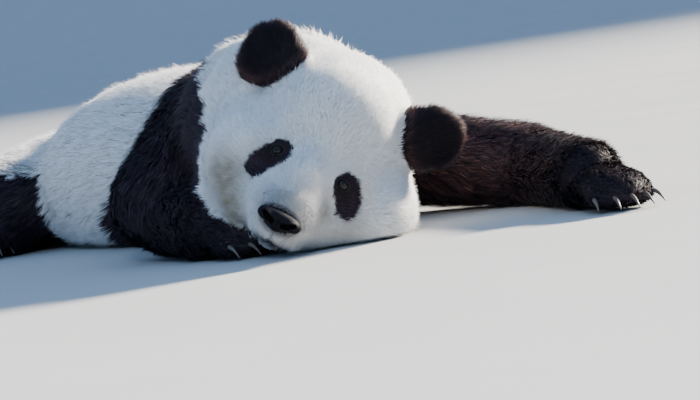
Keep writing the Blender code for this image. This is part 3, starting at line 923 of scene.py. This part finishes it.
# ---- Blades
BLADES_AT_MOST = 66000  # in one piece, three triangles each
TUFT = 15  # blades to a tuft
LOWEST = 0.0012  # the lowest a blade's point may lie
PATCH = 0.0015  # half a blade's patch on the unwrap
WIDTH_SPREAD, LENGTH_SPREAD = (0.75, 1.25), (0.80, 1.12)  # in shares of the coat's own
LYING_LIFT, STRAY_LIFT = (0.60, 0.90), (0.92, 1.28)  # a tip's height, in depths of the coat
WHISKER_LENGTH, WHISKER_WIDTH, WHISKER_LIFT = (0.022, 0.042), 0.0006, 0.45
ROOT_SUNK = 0.0008  # how far inside the skin a blade starts


class Blades:
    """The blades' points, colours, roots and normals, a row to each blade."""

    def __init__(self, corners, shares):
        self.corners = corners
        self.shares = shares

    def under(self, field):
        """A property of the skin's points, read at the roots."""
        shares = self.shares if field.ndim == 1 else self.shares[:, :, None]
        return (field[self.corners] * shares).sum(1)


def triangles(mesh):
    mesh.calc_loop_triangles()
    return read(mesh.loop_triangles, "vertices", 3, np.int32)


def nearest(tree, places):
    return np.array([tree.find(p)[1] for p in places.tolist()])


def tree_of(places):
    tree = KDTree(len(places))
    for i, p in enumerate(places.tolist()):
        tree.insert(p, i)
    tree.balance()
    return tree


def scatter(mesh, coat):
    """Blades rooted over the skin, each in a triangle by shares of its corners."""
    tris = triangles(mesh)
    corners = coat.places[tris]
    first, second = corners[:, 1] - corners[:, 0], corners[:, 2] - corners[:, 0]
    size = sizes(np.cross(first, second)) / 2
    wanted = size * coat.density[tris].mean(1) * 1e4
    counts = np.floor(wanted + RANDOM.random(len(wanted))).astype(int)
    chosen = np.repeat(np.arange(len(tris)), counts)
    a, b = RANDOM.random((2, len(chosen)))
    over = a + b > 1
    a[over], b[over] = 1 - a[over], 1 - b[over]
    return Blades(tris[chosen], np.stack((1 - a - b, a, b), axis=1))


def grow(mesh, coat):
    """The blades with their points, for every root on the skin."""
    blades = scatter(mesh, coat)
    roots = blades.under(coat.places)
    normal = unit(blades.under(coat.normals))
    lie = blades.under(coat.lie)
    count = len(roots)
    length = blades.under(coat.length)
    height = blades.under(coat.height)
    width = blades.under(coat.width) * RANDOM.uniform(*WIDTH_SPREAD, count)

    side = unit(np.cross(normal, lie))
    sway = 0.26 * waves(roots, 0.055, 6.0) + 0.16 * waves(roots, 0.020, 7.0)
    sway += RANDOM.normal(0, 0.13, count)
    way = unit(lie * np.cos(sway)[:, None] + side * np.sin(sway)[:, None])
    length = length * RANDOM.uniform(*LENGTH_SPREAD, count)
    stray = RANDOM.random(count) < blades.under(coat.stray)
    standing = RANDOM.uniform(*STRAY_LIFT, count)
    lying = RANDOM.uniform(*LYING_LIFT, count)
    lift = height * np.where(stray, standing, lying)
    lift *= 1 + 0.10 * waves(roots, 0.04, 8.0)
    width = np.where(stray, 0.55 * width, width)
    whisker = RANDOM.random(count) < blades.under(coat.whisker)
    length = np.where(whisker, RANDOM.uniform(*WHISKER_LENGTH, count), length)
    lift = np.where(whisker, WHISKER_LIFT * length, lift)
    width = np.where(whisker, WHISKER_WIDTH, width)
    reach = np.sqrt(np.maximum(length**2 - lift**2, (0.5 * length) ** 2))

    ends = roots + way * reach[:, None]
    near = nearest(tree_of(coat.places), ends)
    off = ((ends - coat.places[near]) * coat.normals[near]).sum(1)
    lean = np.clip((normal * coat.normals[near]).sum(1), 0, 1)
    off = np.where(lean > 0.02, off, 0)
    ends = ends + coat.normals[near] * (lift * lean - off)[:, None]
    ends = ends + normal * (lift * (1 - lean))[:, None]

    heads = np.arange(0, count, TUFT)
    tuft = heads[nearest(tree_of(roots[heads]), roots)]
    pull = blades.under(coat.clump) * RANDOM.uniform(0.5, 1.2, count)
    apart = sizes(roots - roots[tuft])
    pull *= fade(apart, 0.012, 0.022)
    joined = ends[tuft] + (roots - roots[tuft]) * 0.25
    ends = mix(ends, joined, pull[:, None])

    arch = lift * RANDOM.uniform(0.18, 0.34, count)
    knees = roots * 0.52 + ends * 0.48 + normal * arch[:, None]
    roots = roots - normal * ROOT_SUNK
    along = unit(ends - roots)
    flat = unit(np.cross(along, normal))
    roll = RANDOM.normal(0, 0.45, count)[:, None]
    face = unit(np.cross(along, flat))
    flat = flat * np.cos(roll) + face * np.sin(roll)
    half = flat * width[:, None] / 2
    bent = half * 0.82
    points = np.stack((roots - half, roots + half, knees - bent, knees + bent, ends), axis=1)
    points[:, :, 2] = np.maximum(points[:, :, 2], LOWEST)

    blades.points = points
    blades.normal = normal
    blades.roots = roots
    return blades


def colour_blades(blades, coat):
    """Colours at the root, the middle and the tip of each blade, and which are black."""
    count = len(blades.corners)
    loose = 0.035 + 0.15 * blades.under(coat.border)
    dark = blades.under(coat.dark) + RANDOM.normal(0, 1, count) * loose
    white = blades.under(coat.white)
    near_nose = blades.under(coat.nose_dark)
    brown = blades.under(coat.brown)
    black = dark > 0.5
    shade = np.clip(RANDOM.normal(0.98, 0.07, count), 0.7, 1.12)[:, None]
    streak = np.clip(RANDOM.lognormal(-0.15, 0.55, count), 0.3, 3.2)[:, None]
    tip, root = white * shade, white * shade * (WHITE_ROOT / WHITE)
    veil = np.clip(0.85 * near_nose * RANDOM.uniform(0.5, 1.1, count), 0, 1)[:, None]
    tip = mix(tip, NOSE_HAIR, veil)
    root = mix(root, 0.5 * NOSE_HAIR, veil)
    # Brown tips: a few anywhere as the fur's own colour, more on the ears' rims as painted rim light,
    # and on the left arm as brown fur with painted sunlight.
    brownish = (RANDOM.random(count) < 0.06 + 0.75 * brown)[:, None]
    warmth = RANDOM.uniform(0.2, 1.0, count)[:, None] * (0.25 + 0.75 * brown[:, None])
    black_tip = np.where(brownish, mix(BLACK_TIP, BROWN_TIP, warmth), BLACK_TIP)
    # Black tips on the ear's face painted darker: painted shade.
    black_tip = black_tip * (1 - 0.72 * blades.under(coat.deep))[:, None]
    tip = np.where(black[:, None], black_tip * streak, tip)
    root = np.where(black[:, None], BLACK_ROOT, root)
    blades.black = black
    blades.colours = np.stack((root, root, (root + tip) / 2, (root + tip) / 2, tip), axis=1)


def blade_piece(name, blades, chosen, uvs, material):
    """One piece of the coat, as a mesh of three triangles to a blade."""
    count = len(chosen)
    mesh = bpy.data.meshes.new(name)
    mesh.vertices.add(count * 5)
    write(mesh.vertices, "co", blades.points[chosen])
    pattern = np.array((0, 1, 3, 0, 3, 2, 2, 3, 4))
    loops = (np.arange(count)[:, None] * 5 + pattern).astype(np.int32)
    mesh.loops.add(count * 9)
    mesh.loops.foreach_set("vertex_index", loops.ravel())
    mesh.polygons.add(count * 3)
    mesh.polygons.foreach_set("loop_start", np.arange(0, count * 9, 3, dtype=np.int32))
    smooth(mesh)
    mesh.update(calc_edges=True)
    paint(mesh, blades.colours[chosen].reshape(-1, 3))
    corner = np.array(((-1, -1), (1, -1), (-1, 0), (1, 0), (0, 1))) * PATCH
    layer = mesh.uv_layers.new(name=UV_NAME)
    write(layer.data, "uv", (uvs[chosen][:, None, :] + corner)[:, pattern])
    soft = mesh.attributes.new("custom_normal", "FLOAT_VECTOR", "POINT")
    own = normals_of(mesh).reshape(-1, 5, 3)
    out = blades.normal[chosen][:, None, :]
    own *= np.sign((own * out).sum(2, keepdims=True) + 1e-9)
    write(soft.data, "vector", unit((own * 0.45 + out * 0.55).reshape(-1, 3)))
    piece = link(name, mesh, material)
    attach(piece, "root")


def add_coat(obj, coat, unwrap, owner):
    """White and black blades apart, each in a few pieces from the nose to the tail."""
    blades = grow(obj.data, coat)
    colour_blades(blades, coat)
    label = Unwrap.label_of(blades.normal, owner[blades.corners[:, 0]])
    known = np.isin(label, np.unique(unwrap.label))
    label = np.where(known, label, unwrap.label[0])
    uvs = unwrap.at(blades.roots, label)
    for name, chosen, roughness, sheen, gloss in (
            ("white", ~blades.black, 0.72, 0.30, 0.30), ("black", blades.black, 0.58, 0.03, 0.14)):
        material = coat_material("coat_" + name, roughness, sheen, gloss)
        order = np.nonzero(chosen)[0]
        order = order[np.argsort(blades.roots[order, 1], kind="stable")]
        pieces = max(1, math.ceil(len(order) / BLADES_AT_MOST))
        for number, part in enumerate(np.array_split(order, pieces), 1):
            blade_piece(f"coat_{name}_{number}", blades, part, uvs, material)


# ---- Eyes, nose and claws
CORNEA_RADIUS, CORNEA_RISE = 0.0062, 0.0007


def add_eyes():
    """Two balls that swell a little over the iris and look slightly outward."""
    material = eye_material()
    for side, sign in (("left", 1), ("right", -1)):
        bm = bmesh.new()
        bmesh.ops.create_uvsphere(bm, u_segments=48, v_segments=32, radius=EYE_RADIUS)
        bmesh.ops.rotate(bm, verts=bm.verts, matrix=Matrix.Rotation(math.radians(90), 3, "X"))
        for v in bm.verts:
            off_axis = math.hypot(v.co.x, v.co.z)
            if v.co.y < 0 and off_axis < CORNEA_RADIUS:
                v.co.y -= CORNEA_RISE * (1 - (off_axis / CORNEA_RADIUS) ** 2)
        mesh = mesh_of(bm, f"eyeball_{side}")
        smooth(mesh)
        eye = link(f"eyeball_{side}", mesh, material)
        out = HEAD_TURN.to_matrix() @ Vector((sign * 0.18, -1, 0.02)).normalized()
        turn = out.to_track_quat("-Y", "Z")
        eye.matrix_world = Matrix.LocRotScale(middle(f"eye_{side}"), turn, None)
        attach(eye, "root")
        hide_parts(f"eye_{side}")


# The round masses that melt into the nose pad, middle and radii, from the pad's own place.
NOSE_MASSES = (
    ((0, 0.0015, -0.0035), (0.0325, 0.0150, 0.0102)),
    ((-0.0170, 0.0005, -0.0065), (0.0172, 0.0150, 0.0108)),
    ((0.0170, 0.0005, -0.0065), (0.0172, 0.0150, 0.0108)),
    ((0, 0.0026, -0.0135), (0.0110, 0.0120, 0.0118)),
)
NOSE_PLACE = np.array((0, -0.196, -0.066))
NOSTRIL = np.array(((0.0100, 0, -0.0122), (0.0175, 0, -0.0092), (0.0250, 0, -0.0045)))
NOSTRIL_ACROSS, NOSTRIL_WIDE = (0.009, 0.018, 0.027), (0.0044, 0.0036, 0.0014)
NOSE_GRAIN = 0.0009
# The pad's own dark colour on its sides, and on its top a lighter, bluer colour that is a painted
# reflection of the sky.
NOSE_TOP_SKY_SHEEN, NOSE_SIDE = np.array((0.007, 0.007, 0.013)), np.array((0.005, 0.0045, 0.006))


def add_nose():
    """The bare pad: broad above, narrow below, with comma-shaped nostrils and a middle groove."""
    bm = bmesh.new()
    for centre, radii in NOSE_MASSES:
        made = bmesh.ops.create_uvsphere(bm, u_segments=40, v_segments=24, radius=1)
        place = Matrix.LocRotScale(Vector(centre), None, Vector(radii))
        bmesh.ops.transform(bm, matrix=place, verts=made["verts"])
    mesh = modified(mesh_of(bm, "nose_pad"), "REMESH", mode="VOXEL", voxel_size=NOSE_GRAIN)
    places = spread(points_of(mesh), edges_of(mesh), 10)
    front = blend(-places[:, 1], 0.001, 0.008)
    flat = mirrored(places * np.array((1, 0, 1)))
    far = line_distance(flat, NOSTRIL)
    wide = np.interp(flat[:, 0], NOSTRIL_ACROSS, NOSTRIL_WIDE)
    hole = np.clip(1 - (far / wide) ** 2, 0, 1) ** 0.5
    rim = bell(far - wide - 0.0015, 0.0015)
    places[:, 1] += front * (0.0075 * hole - 0.0009 * rim)
    groove = bell(places[:, 0], 0.0011) * fade(places[:, 2], -0.010, -0.002)
    places[:, 1] += front * 0.0018 * groove
    places = spread(places, edges_of(mesh), 1, 0.3)
    set_points(mesh, from_head(places + NOSE_PLACE))
    # Inside the nostrils the colour is painted darker: painted shade in the holes.
    inside = (front * np.clip(1.25 - (far / wide) ** 2, 0, 1) ** 0.5)[:, None]
    # The top of the pad is painted lighter and bluer: a painted sky reflection.
    sky_sheen_share = blend(places[:, 2], -0.010, 0.004)[:, None]
    colour = mix(NOSE_SIDE, NOSE_TOP_SKY_SHEEN, sky_sheen_share)
    paint(mesh, mix(colour, 0.12 * NOSE_SIDE, inside))
    smooth(mesh)
    nose = link("nose_pad", mesh, nose_material())
    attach(nose, "root")
    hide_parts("nose")


def add_claws():
    """The claws' solids, rounded."""
    material = claw_material()
    for name in sorted(n for n in NODES if n.startswith("claw")):
        bm = bmesh.new()
        bm.from_mesh(NODES[name].data)
        bmesh.ops.remove_doubles(bm, verts=bm.verts, dist=1e-5)
        mesh = modified(mesh_of(bm, name), "SUBSURF", levels=2)
        smooth(mesh)
        claw = link("horn_" + name, mesh, material)
        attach(claw, "root")
        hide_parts(name)


# ---- Floor and light
FLOOR_NEAR, FLOOR_SIDE = -40.0, 45  # metres past the animal, and to each side
COVE_START, COVE_RADIUS, COVE_STEPS, WALL_TOP = 16.0, 24.0, 24, 28.0
FLOOR_COLOUR = (0.46, 0.46, 0.45, 1)
SHADE_COLOUR, SHADE_STRENGTH = (0.35, 0.58, 1.0, 1), 0.98
SUN_FROM, SUN_WIDTH = Vector((0.93, -0.02, 0.44)), math.radians(9)
SUN_POWER, SUN_COLOUR = 22.0, (1.0, 0.90, 0.76)
SKY_PLACE, SKY_TOWARD = Vector((-2.2, -2.6, 1.9)), Vector((0, -0.2, 0.1))
SKY_SIZE, SKY_POWER, SKY_COLOUR = 0.5, 32, (0.56, 0.78, 1.0)


def add_stage():
    """A pale floor that bends up, far behind the animal, into a plain wall."""
    ahead = Vector((-math.sin(VIEW_AZIMUTH), math.cos(VIEW_AZIMUTH), 0))
    aside = Vector((ahead.y, -ahead.x, 0))
    profile = [(FLOOR_NEAR, 0.0), (COVE_START, 0.0)]
    for i in range(1, COVE_STEPS + 1):
        turn = math.radians(90) * i / COVE_STEPS
        profile.append((COVE_START + COVE_RADIUS * math.sin(turn), COVE_RADIUS * (1 - math.cos(turn))))
    profile.append((COVE_START + COVE_RADIUS, WALL_TOP))
    bm = bmesh.new()
    rows = []
    for along, high in profile:
        middle_of_row = ahead * along + Vector((0, 0, high))
        rows.append([bm.verts.new(middle_of_row + aside * side) for side in (-FLOOR_SIDE, FLOOR_SIDE)])
    for (a, b), (d, c) in zip(rows[:-1], rows[1:]):
        bm.faces.new((a, b, c, d)).smooth = True
    made, tree, shader = new_material("floor", 0.8, Base_Color=FLOOR_COLOUR)
    rough(tree, shader, object_noise(tree, 2.5, 5), 0.7, 0.9)
    link("floor", mesh_of(bm, "floor"), made)


def add_lamp(name, kind_of_lamp, **settings):
    data = bpy.data.lights.new(name, kind_of_lamp)
    for key, value in settings.items():
        setattr(data, key, value)
    lamp = bpy.data.objects.new(name, data)
    bpy.context.scene.collection.objects.link(lamp)
    return lamp


def add_light():
    """Cool soft light all round, and a warm low sun from the right and a little behind."""
    world = bpy.data.worlds.new("world")
    bpy.context.scene.world = world
    world.use_nodes = True
    shader = world.node_tree.nodes["Background"]
    shader.inputs["Color"].default_value = SHADE_COLOUR
    shader.inputs["Strength"].default_value = SHADE_STRENGTH
    sun = add_lamp("sun", "SUN", energy=SUN_POWER, angle=SUN_WIDTH, color=SUN_COLOUR)
    sun.rotation_euler = SUN_FROM.to_track_quat("Z", "Y").to_euler()
    sky = add_lamp("sky", "AREA", shape="DISK", size=SKY_SIZE, energy=SKY_POWER, color=SKY_COLOUR)
    sky.matrix_world = Matrix.LocRotScale(
        SKY_PLACE, (SKY_TOWARD - SKY_PLACE).to_track_quat("-Z", "Y"), None)


# ---- The whole animal
def unwrapped(mesh, coat, owner):
    """The skin's unwrap, laid on the skin too."""
    corner = read(mesh.loops, "vertex_index", form=np.int32)
    first = read(mesh.polygons, "loop_start", form=np.int32)
    total = read(mesh.polygons, "loop_total", form=np.int32)
    unwrap = Unwrap(read(mesh.polygons, "center", 3), read(mesh.polygons, "normal", 3),
                    owner[corner[first]])
    layer = mesh.uv_layers.new(name=UV_NAME)
    write(layer.data, "uv", unwrap.at(coat.places[corner], np.repeat(unwrap.label, total)))
    return unwrap


def main():
    add_camera()
    add_stage()
    add_light()
    skin = make_skin()
    skin.data.materials.append(skin_material())
    coat = read_coat(skin)
    colour_skin(skin, coat)
    owner = coat.member.argmax(1)
    unwrap = unwrapped(skin.data, coat, owner)
    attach(skin, "root")
    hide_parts(*[n for n in NAMES if n != "nose"])
    add_coat(skin, coat, unwrap, owner)
    add_eyes()
    add_nose()
    add_claws()


main()
